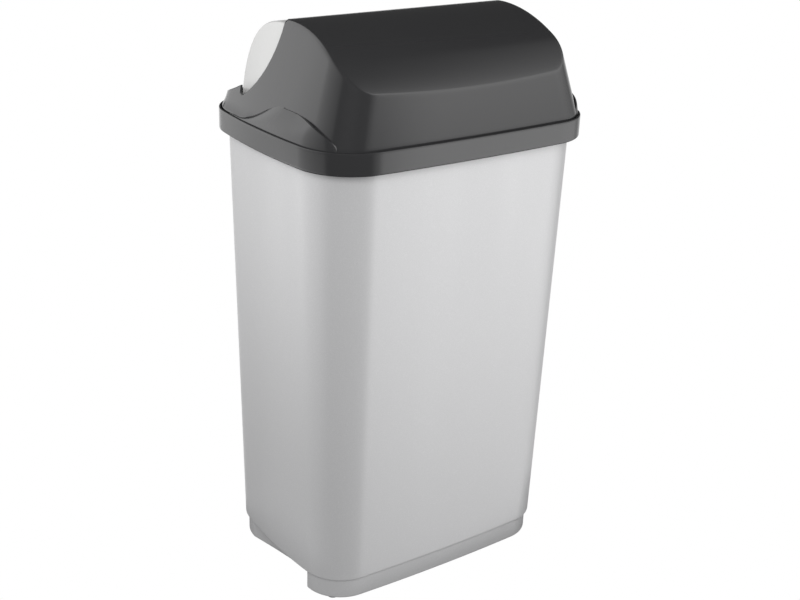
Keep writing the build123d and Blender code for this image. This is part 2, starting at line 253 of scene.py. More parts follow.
def quarterRing(outline):
    halfWidth, halfDepth, longRadius, shortRadius, corner = outline
    cx, cy = cornerCentre(outline)
    shortCentre, longCentre = halfWidth - shortRadius, halfDepth - longRadius
    shortEnd = atan2(cy, cx - shortCentre)
    longStart = atan2(cy - longCentre, cx)
    points = []
    for i in range(ringSteps["short"]):
        turn = shortEnd * i / ringSteps["short"]
        points.append((shortCentre + shortRadius * cos(turn), shortRadius * sin(turn)))
    for i in range(ringSteps["corner"]):
        turn = shortEnd + (longStart - shortEnd) * i / ringSteps["corner"]
        points.append((cx + corner * cos(turn), cy + corner * sin(turn)))
    for i in range(ringSteps["long"] + 1):
        turn = longStart + (pi / 2 - longStart) * i / ringSteps["long"]
        points.append((longRadius * cos(turn), longCentre + longRadius * sin(turn)))
    return points


def wholeRing(outline):
    quarter = quarterRing(outline)
    back = list(reversed(quarter))
    ring = quarter[:-1]
    ring += [(-x, y) for x, y in back][:-1]
    ring += [(-x, -y) for x, y in quarter][:-1]
    ring += [(x, -y) for x, y in back][:-1]
    return ring


def halfWidthAt(outline, y):
    halfWidth, halfDepth, longRadius, shortRadius, corner = outline
    cx, cy = cornerCentre(outline)
    shortCentre = halfWidth - shortRadius
    tangentY = cy * shortRadius / hypot(cx - shortCentre, cy)
    if abs(y) < tangentY:
        return shortCentre + sqrt(shortRadius ** 2 - y ** 2)
    return cx + sqrt(max(0.0, corner ** 2 - (abs(y) - cy) ** 2))


# A wall's section is a list of stops: (list of numbers, rounding). The numbers of a stop can be
# anything that blends, here an outline with its height last. Each stop becomes a soft corner, and
# a support ring stands beside it on each long side, so that the shading stays flat in between.
def softSection(stops, closed=False, steps=5, support=1.5):
    count = len(stops)
    mostOfSide = 0.45      # two roundings leave a tenth of the side between them
    leastSide = 1e-6
    section = []
    for i, (here, radius) in enumerate(stops):
        if not closed and i in (0, count - 1):
            section.append(here)
            continue
        before, after = stops[i - 1][0], stops[(i + 1) % count][0]
        sides = []
        for other in (before, after):
            reach = max(hypot(other[0] - here[0], other[-1] - here[-1]), leastSide)
            sides.append((reach, min(radius, reach * mostOfSide)))
        (reachIn, runIn), (reachOut, runOut) = sides
        start = between(here, before, runIn / reachIn)
        end = between(here, after, runOut / reachOut)
        if reachIn > 4 * support + runIn:
            section.append(between(here, before, (runIn + support) / reachIn))
        for step in range(steps + 1):
            share = step / steps
            section.append(bend(start, here, end, share))
        if reachOut > 4 * support + runOut:
            section.append(between(here, after, (runOut + support) / reachOut))
    return section


# Spots closer than these are one, and edges shorter are dropped, in metres
weld = {"spots": 0.00001, "edges": 0.000005}


def newObject(name, verts, faces, material):
    mesh = bpy.data.meshes.new(name)
    mesh.from_pydata([(x * mm, y * mm, z * mm) for x, y, z in verts], [], faces)
    tidy = bmesh.new()
    tidy.from_mesh(mesh)
    bmesh.ops.remove_doubles(tidy, verts=tidy.verts, dist=weld["spots"])
    bmesh.ops.dissolve_degenerate(tidy, edges=tidy.edges, dist=weld["edges"])
    bmesh.ops.recalc_face_normals(tidy, faces=tidy.faces)
    tidy.to_mesh(mesh)
    tidy.free()
    mesh.materials.append(material)
    mesh.shade_smooth()
    piece = bpy.data.objects.new(name, mesh)
    bpy.context.scene.collection.objects.link(piece)
    return piece


# Joins rings of equal length into a skin. An end may close to its own middle point.
def skin(rings, closed=False, caps=()):
    verts = [point for ring in rings for point in ring]
    width = len(rings[0])
    faces = []
    for i in range(len(rings) if closed else len(rings) - 1):
        low, high = i * width, ((i + 1) % len(rings)) * width
        for j in range(width):
            k = (j + 1) % width
            faces.append((low + j, low + k, high + k, high + j))
    for end in caps:
        ring = rings[end]
        middle = len(verts)
        verts.append(tuple(sum(axis) / len(ring) for axis in zip(*ring)))
        base = (len(rings) - 1) * width if end else 0
        for j in range(width):
            faces.append((base + j, base + (j + 1) % width, middle))
    return verts, faces


# Adds a sheet made of columns of equal height, and tells where it starts
def addSheet(verts, faces, columns):
    start, height = len(verts), len(columns[0])
    for column in columns:
        verts.extend(tuple(spot) for spot in column)
    for i in range(len(columns) - 1):
        for k in range(height - 1):
            a = start + i * height + k
            faces.append((a, a + height, a + height + 1, a + 1))
    return start


# Adds another skin to one that is already there
def addSkin(verts, faces, more, sides):
    base = len(verts)
    verts += more
    faces += [tuple(base + i for i in side) for side in sides]


# Bucket: tapered tub, its step, its plinth with a finger recess under each short side
bucket = {
    "width": 368.0, "depth": 259.0, "corner": 56.0, "longBow": 6.2, "shortBow": 11.7,
    "draft": 0.0237,
    "wall": 2.0, "floor": 2.4,
    "plinthInset": 4.3, "plinthWall": 2.4, "stepRise": 0.1,
    "stepRound": 1.6, "plinthRound": 2.4, "lipRound": 1.2, "floorRound": 7.0,
    "top": 591.3, "lipThickness": 2.5, "lipDrop": 10.0,
    "recessRearY": 84.0, "recessMid": (38.8, 10.0), "recessDeep": (-42.0, 24.0),
    "recessFrontY": -70.0, "recessReturn": 14.4, "recessRound": 2.4,
    "recessMargin": 6.0, "recessUnder": 1.5, "returnReach": 7.0, "shortSideFrom": 120.0,
    "underRingInset": 30.0, "floorRingInset": 60.0,
}
# Rim frame: a band round the mouth, the shelf that carries the lid and the collar inside
rim = {
    "width": 410.0, "depth": 311.0, "corner": 71.0, "longBow": 7.3, "shortBow": 13.8,
    "wall": 2.6, "edgeRound": 1.5, "innerRound": 0.9,
    "shelf": 2.5, "lipClearance": 1.0,
    "collarGap": 0.6, "collarWall": 2.2, "collarDepth": 30.0,
}


def bowedOf(size):
    return bowed(size["width"], size["depth"], size["longBow"], size["shortBow"], size["corner"])


bucketFoot, rimOutline = bowedOf(bucket), bowedOf(rim)


def bucketAt(z, inset=0.0):
    return grow(bucketFoot, bucket["draft"] * (z - level["step"]) - inset) + [z]


# Depth of the finger recess at one place along the short side, before its front return
def recessDepth(y):
    midY, mid = bucket["recessMid"]
    deepY, deep = bucket["recessDeep"]
    rearY = bucket["recessRearY"]
    if y >= rearY:
        return 0.0
    if y < deepY:
        share = (deepY - y) / (deepY - bucket["recessFrontY"])
        return deep + (bucket["recessReturn"] - deep) * share
    # Parabola that leaves the plinth at the rear and passes the other two named places
    middle = (y - rearY) * (y - deepY) / ((midY - rearY) * (midY - deepY))
    front = (y - rearY) * (y - midY) / ((deepY - rearY) * (deepY - midY))
    return max(0.0, middle * mid + front * deep)


# Moves a plinth ring in at both short sides. The wall turns out to the plinth again at the front
def recessed(ring, wallShift):
    edgeX = bucketFoot[0] - bucket["plinthInset"]
    frontY = bucket["recessFrontY"] - wallShift
    rearY = bucket["recessRearY"] + bucket["recessMargin"]
    reach = bucket["returnReach"]
    moved = []
    for x, y in ring:
        side = -1 if x < 0 else 1
        depthHere = edgeX - recessDepth(y) - wallShift
        if abs(x) < bucket["shortSideFrom"] or y < frontY - reach or y > rearY:
            moved.append((x, y))
        elif y > frontY + reach:
            moved.append((side * min(abs(x), depthHere), y))
        else:
            # Runs in from the recess wall, out along the return, and on along the plinth
            inner = edgeX - recessDepth(frontY) - wallShift
            outerX = abs(x)
            path = [
                (edgeX - recessDepth(frontY + reach) - wallShift, frontY + reach),
                (inner, frontY), (outerX, frontY), (outerX, frontY - reach)]
            share = (frontY + reach - y) / (2 * reach)
            moved.append(roundedPath(path, bucket["recessRound"], share, side))
    return moved


# Spot at a share of a path's length, with its two inner corners rounded
def roundedPath(path, radius, share, side):
    lengths = [hypot(b[0] - a[0], b[1] - a[1]) for a, b in zip(path, path[1:])]
    target = share * sum(lengths)
    for i, length in enumerate(lengths):
        if target <= length or i == len(lengths) - 1:
            break
        target -= length
    a, b = path[i], path[i + 1]
    spot = between(a, b, min(1.0, target / length))
    for j in (1, 2):
        corner = path[j]
        gap = hypot(spot[0] - corner[0], spot[1] - corner[1])
        if gap < radius:
            before = between(corner, path[j - 1], radius / lengths[j - 1])
            after = between(corner, path[j + 1], radius / lengths[j])
            turn = 0.5 - gap / radius / 2 if i == j - 1 else 0.5 + gap / radius / 2
            spot = bend(before, corner, after, turn)
            break
    return side * spot[0], spot[1]


def makeBucket():
    plinthOuter = grow(bucketFoot, -bucket["plinthInset"])
    plinthInner = grow(plinthOuter, -bucket["plinthWall"])
    lip = grow(rimOutline, -(rim["wall"] + rim["lipClearance"]))
    lipInner = grow(lip, -bucket["wall"])
    top, under = bucket["top"], bucket["top"] - bucket["lipThickness"]
    skirt = top - bucket["lipDrop"]
    floorTop = level["step"] + bucket["floor"]
    stops = [
        (grow(plinthInner, -bucket["underRingInset"]) + [level["step"]], 0),
        (plinthInner + [level["step"]], 1.0),
        (plinthInner + [level["foot"]], 0.6),
        (plinthOuter + [level["foot"]], bucket["plinthRound"]),
        (plinthOuter + [level["step"] - bucket["stepRise"]], 0.3),
        (bucketFoot + [level["step"]], bucket["stepRound"]),
        (bucketAt(under), 1.5),
        (lipInner + [under], 0.8),
        (lipInner + [skirt], 0.8),
        (lip + [skirt], 0.8),
        (lip + [top], bucket["lipRound"]),
        (bucketAt(top, bucket["wall"]), bucket["lipRound"]),
        (bucketAt(floorTop, bucket["wall"]), bucket["floorRound"]),
        (bucketAt(floorTop, bucket["floorRingInset"]), 0),
    ]
    rings = []
    slack = 0.01
    for stop in softSection(stops):
        outline, z = stop[:5], stop[5]
        ring = wholeRing(outline)
        # Rings of the plinth's wall have the recess, and so has the first one under the floor
        wallShift = plinthOuter[0] - outline[0]
        onWall = -slack < wallShift < bucket["plinthWall"] + bucket["recessUnder"]
        if z < level["step"] + slack and onWall:
            ring = recessed(ring, wallShift)
        rings.append([(x, y, z) for x, y in ring])
    verts, faces = skin(rings, caps=(0, 1))
    piece = newObject("bucketShell", verts, faces, silver)
    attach(piece, "bucket")
    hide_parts("bucket")


makeBucket()
print("bucket made")


def makeRimFrame():
    skirtInner = grow(rimOutline, -rim["wall"])
    shelfTop, shelfUnder = level["shelf"], level["shelf"] - rim["shelf"]
    collarLow = shelfUnder - rim["collarDepth"]
    outerInset = bucket["wall"] + rim["collarGap"]
    innerInset = outerInset + rim["collarWall"]
    stops = [
        (rimOutline + [level["rimBottom"]], rim["edgeRound"]),
        (rimOutline + [level["rimTop"]], rim["edgeRound"]),
        (skirtInner + [level["rimTop"]], rim["innerRound"]),
        (skirtInner + [shelfTop], 0.6),
        (bucketAt(shelfTop, innerInset), 1.0),
        (bucketAt(collarLow, innerInset), 0.6),
        (bucketAt(collarLow, outerInset), 0.6),
        (bucketAt(shelfUnder, outerInset), 0.5),
        (skirtInner + [shelfUnder], 0.5),
        (skirtInner + [level["rimBottom"]], 0.8),
    ]
    rings = [[(x, y, stop[5]) for x, y in wholeRing(stop[:5])]
             for stop in softSection(stops, closed=True)]
    verts, faces = skin(rings, closed=True)
    piece = newObject("rimBand", verts, faces, anthracite)
    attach(piece, "rim")
    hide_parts("rim_frame")


makeRimFrame()
print("rim frame made")


# Lid housing: a drafted hood whose top is a barrel lying along X, cut open on the +Y side
lid = {
    "low": bowed(392.0, 295.4, 6.8, 12.6, 50.0),
    "high": bowed(314.0, 252.0, 4.6, 7.6, 40.0),
    "wall": 2.6,
    "barrel": 178.5,
    "creaseRound": 5.0,
    "flangeGap": 0.8, "flangeThickness": 2.2,
    "flareHeight": 10.0, "flareFrom": 0.06, "flareRun": 0.12, "flareGap": 0.3, "flareFall": 2.2,
}
# Edge of the opening, by depth and by height above the rim
window = {"crestY": 6.0, "crestZ": 734.0, "radius": 106.0, "shoulderY": 12.5,
          "sillY": 66.0, "sillHeight": 22.6, "notchY": 72.5, "notchHeight": 24.0,
          "cornerY": 76.5, "cornerHeight": 32.5, "rearHeight": 11.5, "cornerFall": 1.6}
# Shares of a quarter turn where the corner begins and ends
cornerFrom, cornerTo = 0.4, 0.6
# How many faces each part of the hood gets, and how its columns crowd or lean
hoodSteps = {"front": 44, "side": 40, "steep": 3, "arc": 40, "sill": 60, "wall": 16,
             "crease": 5, "foot": 3}
hoodSpacing = {"sillPower": 1.7, "topPower": 3, "slopeTurn": 0.004, "turnReach": 0.95}
flangeOutline = grow(rimOutline, -(rim["wall"] + lid["flangeGap"]))
flareOutline = grow(flangeOutline, -lid["flareGap"])


def lidOutline(z, inset=0.0):
    share = (z - level["rimTop"]) / (level["crest"] - level["rimTop"])
    return grow(between(lid["low"], lid["high"], max(0.0, share)), -inset)


# Place on an outline for a turn from 0 to 4, one per quarter, starting at +X and running over +Y
def outlineSpot(outline, turn):
    quarter = floor(turn) % 4
    share = turn - floor(turn)
    if quarter in (1, 3):
        share = 1 - share
    halfWidth, halfDepth, longRadius, shortRadius, corner = outline
    cx, cy = cornerCentre(outline)
    shortCentre, longCentre = halfWidth - shortRadius, halfDepth - longRadius
    shortEnd = atan2(cy, cx - shortCentre)
    longStart = atan2(cy - longCentre, cx)
    if share < cornerFrom:
        angle = shortEnd * share / cornerFrom
        x, y = shortCentre + shortRadius * cos(angle), shortRadius * sin(angle)
    elif share < cornerTo:
        angle = shortEnd + (longStart - shortEnd) * (share - cornerFrom) / (cornerTo - cornerFrom)
        x, y = cx + corner * cos(angle), cy + corner * sin(angle)
    else:
        angle = longStart + (pi / 2 - longStart) * (share - cornerTo) / (1 - cornerTo)
        x, y = longRadius * cos(angle), longCentre + longRadius * sin(angle)
    return (-x if quarter in (1, 2) else x), (-y if quarter in (2, 3) else y)


# Share of the foot's flare: full at the rim's level round the rear corners, none at the front
def flareShare(turn, z):
    rise = clamp((z - level["rimTop"]) / lid["flareHeight"])
    along = clamp((turn - lid["flareFrom"]) / lid["flareRun"])
    return (1 - rise) ** lid["flareFall"] * ease(along)


def lidSpot(turn, z, inset=0.0):
    x, y = outlineSpot(lidOutline(z, inset), turn)
    if not inset:
        share = flareShare(turn, z)
        footX, footY = outlineSpot(flareOutline, turn)
        x, y = x + (footX - x) * share, y + (footY - y) * share
    return Vector((x, y, z))


def barrelHeight(y, inset=0.0):
    radius = lid["barrel"] - inset
    return level["crest"] - lid["barrel"] + sqrt(max(1.0, radius ** 2 - y ** 2))


# Height of the window's edge above one depth: raised corner, notch, arc, then the steep line
def windowHeight(y):
    sill = level["rimTop"] + window["sillHeight"]
    centreY = window["shoulderY"] + window["radius"]
    centreZ = sill + sqrt(window["radius"] ** 2 - (centreY - window["sillY"]) ** 2)
    if y >= window["cornerY"]:
        left = max(0.0, (lid["low"][1] - y) / (lid["low"][1] - window["cornerY"]))
        over = window["cornerHeight"] - window["rearHeight"]
        return level["rimTop"] + window["rearHeight"] + over * left ** window["cornerFall"]
    if y >= window["notchY"]:
        share = (y - window["notchY"]) / (window["cornerY"] - window["notchY"])
        step = window["cornerHeight"] - window["notchHeight"]
        return level["rimTop"] + window["notchHeight"] + step * ease(share)
    if y >= window["sillY"]:
        share = (y - window["sillY"]) / (window["notchY"] - window["sillY"])
        return sill + (window["notchHeight"] - window["sillHeight"]) * share
    if y >= window["shoulderY"]:
        return centreZ - sqrt(window["radius"] ** 2 - (centreY - y) ** 2)
    share = (y - window["crestY"]) / (window["shoulderY"] - window["crestY"])
    return window["crestZ"] + (centreZ - window["crestZ"]) * share


# Finds where a check that holds at the low end stops holding
def solve(check, low, high, rounds=40):
    for i in range(rounds):
        middle = (low + high) / 2
        if check(middle):
            low = middle
        else:
            high = middle
    return (low + high) / 2


# Turn of the wall's spot at one depth and height
def turnAt(y, z, inset=0.0):
    reach = hoodSpacing["turnReach"]
    return solve(lambda turn: lidSpot(turn, z, inset).y < y, -reach, reach)


# The hood's free upper boundary as (turn, height) pairs for the +X half, from front to rear
def hoodBoundary(inset):
    def creaseHeight(turn):
        return solve(lambda z: z < barrelHeight(lidSpot(turn, z, inset).y, inset),
                     level["rimTop"], level["crest"] + 1)

    cutY = solve(lambda y: windowHeight(y) > barrelHeight(y, inset),
                 window["crestY"], window["shoulderY"])
    cutZ = barrelHeight(cutY, inset)
    cutTurn = turnAt(cutY, cutZ, inset)
    # The crease goes from the middle of the front to its corner and on along the cheek
    crease = []
    for i in range(hoodSteps["front"] + 1):
        turn = -1 + 0.5 * i / hoodSteps["front"]
        crease.append((turn, creaseHeight(turn)))
    for i in range(1, hoodSteps["side"] + 1):
        turn = -0.5 + (cutTurn + 0.5) * i / hoodSteps["side"]
        crease.append((turn, creaseHeight(turn)))
    # Along the steep line and the arc by depth and height, then along the sill by turn
    shoulderY, shoulderZ = window["shoulderY"], windowHeight(window["shoulderY"])
    steep = hoodSteps["steep"]
    path = [(cutY + (shoulderY - cutY) * i / steep, cutZ + (shoulderZ - cutZ) * i / steep)
            for i in range(1, steep + 1)]
    radius = window["radius"]
    sweep = asin((shoulderZ - windowHeight(window["sillY"])) / radius)
    for i in range(1, hoodSteps["arc"] + 1):
        angle = sweep * i / hoodSteps["arc"]
        path.append((shoulderY + radius - radius * cos(angle), shoulderZ - radius * sin(angle)))
    edge = [(turnAt(y, z, inset), z) for y, z in path]
    start = edge[-1][0]
    for i in range(1, hoodSteps["sill"] + 1):
        turn = start + (1 - start) * (i / hoodSteps["sill"]) ** hoodSpacing["sillPower"]
        z = solve(lambda z: z < windowHeight(lidSpot(turn, z, inset).y),
                  level["rimTop"], level["rimTop"] + window["cornerHeight"] + 1)
        edge.append((turn, z))
    return crease, edge


# One vertical line of the hood's wall, from the rim's level up to its place on the boundary
def wallLine(footTurn, turn, topZ, inset, topSpot=None):
    line = []
    low = level["rimTop"]
    for k in range(hoodSteps["wall"] + 1):
        share = k / hoodSteps["wall"]
        line.append(lidSpot(footTurn + (turn - footTurn) * share, low + (topZ - low) * share, inset))
    if topSpot:
        shift = topSpot - line[-1]
        for k in range(hoodSteps["wall"] + 1):
            line[k] = line[k] + shift * (k / hoodSteps["wall"]) ** hoodSpacing["topPower"]
    return line


# Spots of the small rounding in the crease between wall and roof
def creaseArc(corner, before, after, wallNormal, roofNormal, radius):
    tangent = (after - before).normalized()
    intoWall = tangent.cross(wallNormal).normalized()
    if intoWall.z > 0:
        intoWall = -intoWall
    turn = wallNormal.angle(roofNormal)
    reach = radius * sqrt((1 - cos(turn)) / (1 + cos(turn)))
    centre = corner + intoWall * reach - wallNormal * radius
    steps = hoodSteps["crease"]
    return [centre + wallNormal.slerp(roofNormal, i / steps) * radius for i in range(steps + 1)]


def wallNormalAt(turn, z, inset):
    step = hoodSpacing["slopeTurn"]
    along = lidSpot(turn + step, z, inset) - lidSpot(turn - step, z, inset)
    up = lidSpot(turn, z + 1, inset) - lidSpot(turn, z - 1, inset)
    return along.cross(up).normalized()


def roofNormalAt(y, inset):
    return Vector((0, y, barrelHeight(y, inset) - level["crest"] + lid["barrel"])).normalized()


# Lines of the wall and arcs of the crease for one skin's +X half, and the turn of each line's foot
def hoodHalf(inset):
    crease, edge = hoodBoundary(inset)
    radius = lid["creaseRound"] - inset
    corners = [lidSpot(turn, z, inset) for turn, z in crease]
    arcs, lines, footTurns = [], [], []
    for i, (turn, z) in enumerate(crease):
        before = corners[max(0, i - 1)]
        after = corners[min(len(corners) - 1, i + 1)]
        if i == 0:
            before = Vector((-after.x, after.y, after.z))
        arc = creaseArc(corners[i], before, after, wallNormalAt(turn, z, inset),
                        roofNormalAt(corners[i].y, inset), radius)
        arcs.append(arc)
        footTurns.append(turn)
        lines.append(wallLine(turn, turn, z, inset, arc[0]))
    # Under the steep line and the arc the feet are spaced evenly
    count = len(edge) - hoodSteps["sill"]
    cutTurn = crease[-1][0]
    for i, (turn, z) in enumerate(edge):
        footTurn = turn
        if i < count:
            footTurn = cutTurn + (edge[count - 1][0] - cutTurn) * (i + 1) / count
        footTurns.append(footTurn)
        lines.append(wallLine(footTurn, turn, z, inset))
    return lines, arcs, footTurns


# Roof: a patch between the front crease, both side creases and the window's straight edge
def roofPatch(arcs, inset):
    front, side = hoodSteps["front"], hoodSteps["side"]
    inner = [arc[-1] for arc in arcs]
    rearY = inner[-1].y
    right = inner[front:]
    wholeFront = [Vector((-p.x, p.y, p.z)) for p in reversed(inner[1:front + 1])] + inner[:front + 1]
    rows = []
    for v, sideSpot in enumerate(right):
        share = v / side
        # How far the side crease stands off the straight line between its ends
        shiftX = sideSpot.x - ((1 - share) * wholeFront[-1].x + share * inner[-1].x)
        shiftY = sideSpot.y - ((1 - share) * wholeFront[-1].y + share * rearY)
        row = []
        for u, foreSpot in enumerate(wholeFront):
            across = u / front - 1
            x = (1 - share) * foreSpot.x + share * across * inner[-1].x + across * shiftX
            y = (1 - share) * foreSpot.y + share * rearY + shiftY
            row.append(Vector((x, y, barrelHeight(y, inset))))
        rows.append(row)
    return rows


def makeHood():
    verts, faces = [], []
    low = level["shelf"]
    ledge = low + lid["flangeThickness"]
    # From the wall's inner face down round the flange and up to its outer face
    foot = softSection([
        (grow(lid["low"], -lid["wall"]) + [level["rimTop"]], 0),
        (grow(lid["low"], -lid["wall"]) + [low], 0.6),
        (flangeOutline + [low], 0.6),
        (flangeOutline + [ledge], 0.6),
        (lid["low"] + [ledge], 0.8),
        (lid["low"] + [level["rimTop"]], 0),
    ], steps=hoodSteps["foot"])
    outerLines, outerArcs, outerTurns = hoodHalf(0.0)
    innerLines, innerArcs, innerTurns = hoodHalf(lid["wall"])
    crease = len(outerArcs)
    for mirror in (1, -1):
        def seen(points):
            return [Vector((p.x * mirror, p.y, p.z)) for p in points]

        footColumns = []
        for innerTurn, outerTurn in zip(innerTurns, outerTurns):
            column = []
            for i, stop in enumerate(foot):
                turn = innerTurn + (outerTurn - innerTurn) * i / (len(foot) - 1)
                x, y = outlineSpot(stop[:5], turn)
                column.append(Vector((x, y, stop[5])))
            column[-1] = lidSpot(outerTurn, level["rimTop"])
            footColumns.append(seen(column))
        addSheet(verts, faces, footColumns)
        for sheet in (outerLines, innerLines, outerArcs, innerArcs):
            addSheet(verts, faces, [seen(line) for line in sheet])
        # Thickness shown by the window's edge: the end of the crease, then down and round
        rimOuter = list(reversed(outerArcs[-1])) + [line[-1] for line in outerLines[crease:]]
        rimInner = list(reversed(innerArcs[-1])) + [line[-1] for line in innerLines[crease:]]
        addSheet(verts, faces, [seen([a, b]) for a, b in zip(rimOuter, rimInner)])
    outerRoof, innerRoof = roofPatch(outerArcs, 0.0), roofPatch(innerArcs, lid["wall"])
    addSheet(verts, faces, outerRoof)
    addSheet(verts, faces, innerRoof)
    addSheet(verts, faces, [[a, b] for a, b in zip(outerRoof[-1], innerRoof[-1])])
    piece = newObject("lidHood", verts, faces, anthracite)
    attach(piece, "lid")
    return piece


lidPieces = [makeHood()]
print("hood made")


# Ears of the lid: a wave-shaped bulge low on each cheek. Heights are above the rim's top edge
ear = {
    "rearY": 76.0, "fadeLength": 18.0, "riseY": 55.0, "crownY": -38.0, "fallY": -70.0, "frontY": -129.0,
    "foot": 2.6, "crown": 32.6, "leanPower": 1.8, "bite": 1.2, "endLean": 3.0, "wall": 2.4,
    "slotRearY": -33.0, "slotCrownY": -45.0, "slotOpenY": -60.0, "slotHeight": 29.2, "slotWidth": 2.0,
    "slotSpread": 0.8, "slotDepth": 5.0, "slotRunOut": 4.0, "edgeRound": 0.8, "freeRound": 0.32,
    "mergeY": -40.0, "mergePower": 1.5, "openPower": 1.5,
    "leastHeight": 0.5, "slotLowMost": 0.96, "slotHighMost": 0.985, "edgeHighMost": 0.995,
    "leastWall": 0.4, "backGap": 0.2, "rowGap": 1.0,
    "footRows": (3.0, 1.0),                  # rows of points under the rim's top edge
    "tuck": ((1.0, -0.05), (4.0, 1.5)),      # in from the ridge and down, to end inside the cheek
}
earSteps = {"rear": 34, "middle": 24, "front": 60, "face": 14, "bend": 4, "back": 8, "above": 6}


def fallShare(y, startY):
    share = (startY - y) / (startY - ear["frontY"])
    return sqrt(1 - min(1.0, max(0.0, share)) ** 2)


def ridgeHeight(y):
    share = clamp((ear["riseY"] - y) / (ear["riseY"] - ear["crownY"]))
    rise = ear["foot"] + (ear["crown"] - ear["foot"]) * (1 - cos(pi * share)) / 2
    fade = clamp((ear["rearY"] - y) / ear["fadeLength"])
    return rise * fallShare(y, ear["fallY"]) * sqrt(1 - (1 - fade) ** 2)


# Outer face of the bulge at one depth: upright at the rim, leaning in more and more
def earFace(y, height):
    ridge = max(ridgeHeight(y), ear["leastHeight"])
    footX = halfWidthAt(flangeOutline, y)
    cheekX = halfWidthAt(lidOutline(level["rimTop"] + ridge), y) - ear["bite"]
    free = clamp((ear["slotOpenY"] - y) / (ear["slotOpenY"] - ear["frontY"]))
    topX = cheekX + (footX - ear["endLean"] - cheekX) * free ** ear["openPower"]
    return footX - (footX - topX) * clamp(height / ridge) ** ear["leanPower"]


# Spots on a soft bend, without its start where first is 1
def bendSpots(start, corner, end, first=0):
    steps = earSteps["bend"]
    return [tuple(bend(start, corner, end, i / steps)) for i in range(first, steps + 1)]


# Section at one depth as (x, z) pairs: up the face to the lip, then into the slot and over the
# strip above it or, where the ear stands free of the cheek, back down its inner side
def earSection(y, free):
    low = level["shelf"] + lid["flangeThickness"] / 2
    top = level["rimTop"]
    ridge = ridgeHeight(y)
    openness = clamp((ear["slotRearY"] - y) / ear["slotRunOut"])
    spread = clamp((ear["slotCrownY"] - y) / (ear["slotCrownY"] - ear["slotOpenY"]))
    slotLow = min(ear["slotHeight"] * fallShare(y, ear["slotCrownY"]), ridge * ear["slotLowMost"])
    slotHigh = min(slotLow + (ear["slotWidth"] + ear["slotSpread"] * spread) * openness,
                   ridge * ear["slotHighMost"])
    soft = ear["freeRound"] if free else ear["edgeRound"] * openness
    edgeLow = max(0.0, slotLow - soft)

    def onFace(height):
        return earFace(y, height), top + height

    points = [(earFace(y, 0), low)] + [(earFace(y, 0), top - drop) for drop in ear["footRows"]]
    points += [onFace(edgeLow * k / earSteps["face"]) for k in range(earSteps["face"] + 1)]
    lip = onFace(slotLow)
    cheek = halfWidthAt(lidOutline(lip[1]), y) - lid["wall"] + ear["leastWall"]
    depth = ear["wall"] if free else min(ear["slotDepth"], lip[0] - cheek) * openness
    inward = (lip[0] - min(soft, depth), lip[1])
    points += bendSpots(points[-1], lip, inward, first=1)
    if free:
        far = (lip[0] - ear["wall"], lip[1])
        points.append((far[0] + soft, far[1]))
        points += bendSpots(points[-1], far, (far[0], far[1] - soft), first=1)
        for k in range(earSteps["back"] + 1):
            height = (edgeLow - ear["backGap"]) * (1 - k / earSteps["back"])
            points.append((earFace(y, height) - ear["wall"], top + height))
        points.append((earFace(y, 0) - ear["wall"], low))
        return points
    over = onFace(slotHigh)
    points += [(lip[0] - depth, lip[1]), (over[0] - depth, over[1])]
    edgeHigh = min(slotHigh + soft, ridge * ear["edgeHighMost"])
    strip = bendSpots((over[0] - min(soft, depth), over[1]), over, onFace(edgeHigh))
    for k in range(1, earSteps["above"] + 1):
        strip.append(onFace(edgeHigh + (ridge - edgeHigh) * k / earSteps["above"]))
    # Towards its front end the strip above the slot sinks into the cheek
    merge = clamp((ear["mergeY"] - y) / (ear["mergeY"] - ear["slotOpenY"])) ** ear["mergePower"]
    for x, z in strip:
        points.append((x + (halfWidthAt(lidOutline(z), y) - ear["bite"] - x) * merge, z))
    ridgeX, ridgeZ = points[-1]
    return points + [(ridgeX - across, ridgeZ - drop) for across, drop in ear["tuck"]]


def makeEars():
    def spaced(start, end, steps, share=lambda linear: linear):
        return [start + (end - start) * share(i / steps) for i in range(steps + 1)]

    steps = earSteps
    rear = spaced(ear["rearY"], ear["slotRearY"] + ear["rowGap"], steps["rear"])
    middle = spaced(ear["slotRearY"], ear["slotOpenY"], steps["middle"])
    front = spaced(ear["slotOpenY"], ear["frontY"], steps["front"], lambda linear: sin(pi / 2 * linear))
    verts, faces = [], []
    for mirror in (1, -1):
        for depths, free in ((rear + middle, False), (front, True)):
            sections = [[(x * mirror, y, z) for x, z in earSection(y, free)] for y in depths]
            height = len(sections[0])
            start = addSheet(verts, faces, sections)
            last = start + (len(sections) - 1) * height
            if free:
                faces.append(tuple(range(last, last + height)))
            else:
                # In front the face runs on as the free shell, so only what lies above is closed
                faces.append(tuple(range(start, start + height)))
                lip = last + len(ear["footRows"]) + 1 + steps["face"]
                faces.append(tuple(range(lip, last + height)))
    piece = newObject("lidEars", verts, faces, anthracite)
    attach(piece, "lid")
    return piece


lidPieces.append(makeEars())
print("ears made")

pivot = {"y": 23.0, "z": 607.6}
pin = {"radius": 4.0, "clearance": 0.08, "headRadius": 8.0, "head": 2.4, "endGap": 0.4}
flap = {
    "halfWidth": 150.0, "slope": 0.30, "wall": 2.2, "topY": -12.0,
    "curve": [(111.2, -3.5), (105.6, 26.0), (111.6, 49.0), (110.3, 75.0)], "topRadius": 110.3,
    "cornerRadius": 111.6, "hubRadius": 13.0, "hubFace": 183.0, "edgeRound": 3.0, "innerRoundCut": 0.9,
    "coneStart": 0.6, "edgeLength": 8.0,
}
flapSteps = {"along": 72, "bend": 6, "support": 2.5}
boss = {"radius": 9.0, "gap": 0.5, "holeDepth": 7.0}
lathe = {"sides": 48, "axisRadius": 0.02}


# The flap's cone: half width of its cheek at one distance from the pivot axis
def coneX(radius, inset):
    return flap["halfWidth"] + flap["slope"] * (flap["cornerRadius"] - radius) - inset


